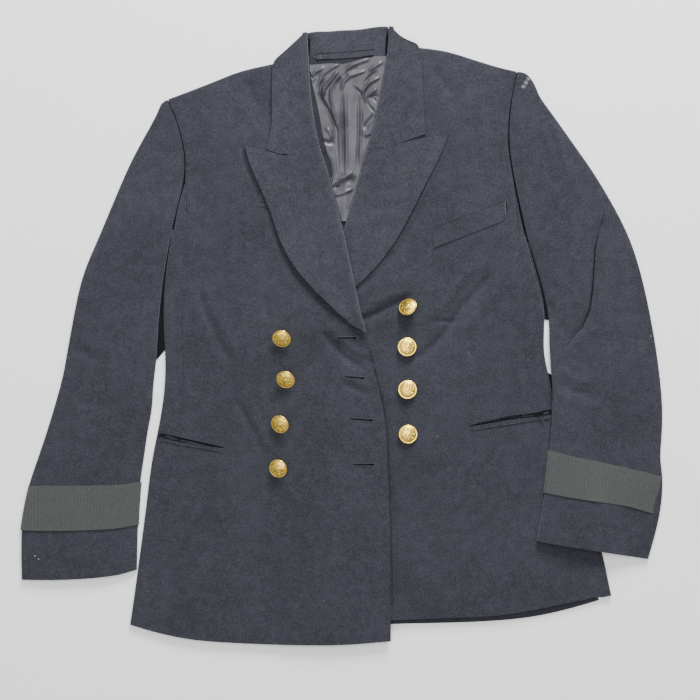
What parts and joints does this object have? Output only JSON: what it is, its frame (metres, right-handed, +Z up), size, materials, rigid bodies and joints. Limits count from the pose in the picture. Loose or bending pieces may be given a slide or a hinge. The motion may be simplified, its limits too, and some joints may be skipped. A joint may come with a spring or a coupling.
{
  "type": "uniform dress jacket",
  "caption": "Double-breasted uniform dress jacket with peaked lapels, cuff braid, welt and jetted pockets and domed gilt buttons, laid flat and unfastened.",
  "frame": {"origin": "middle of the jacket's bounding box, on the surface it lies on", "axes": "+X to the wearer's left, +Y towards the collar, +Z up from the surface"},
  "size_m": [0.742, 0.7125, 0.0182],
  "materials": {
    "wool": "matt dark navy wool",
    "satin": "satin lining",
    "braid": "black mohair braid",
    "gilt": "polished gilt"
  },
  "bodies": {
    "root": {"back_right": "wool", "back_left": "wool", "collar_back": "wool", "collar_right": "wool", "collar_left": "wool", "front_right": "wool", "front_left": "wool", "side_right": "wool", "side_left": "wool", "lapel_right": "wool", "lapel_left": "wool", "sleeve_top_right": "wool", "sleeve_top_left": "wool", "sleeve_under_right": "wool", "sleeve_under_left": "wool", "breast_welt": "wool", "pocket_upper_right": "wool", "pocket_lower_right": "wool", "pocket_upper_left": "wool", "pocket_lower_left": "wool", "back_lining": "satin", "hanger_loop": "satin", "braid_right": "braid", "braid_left": "braid", "button_right_1": "gilt", "button_right_2": "gilt", "button_right_3": "gilt", "button_right_4": "gilt", "button_left_1": "gilt", "button_left_2": "gilt", "button_left_3": "gilt", "button_left_4": "gilt"}
  },
  "joints": []
}
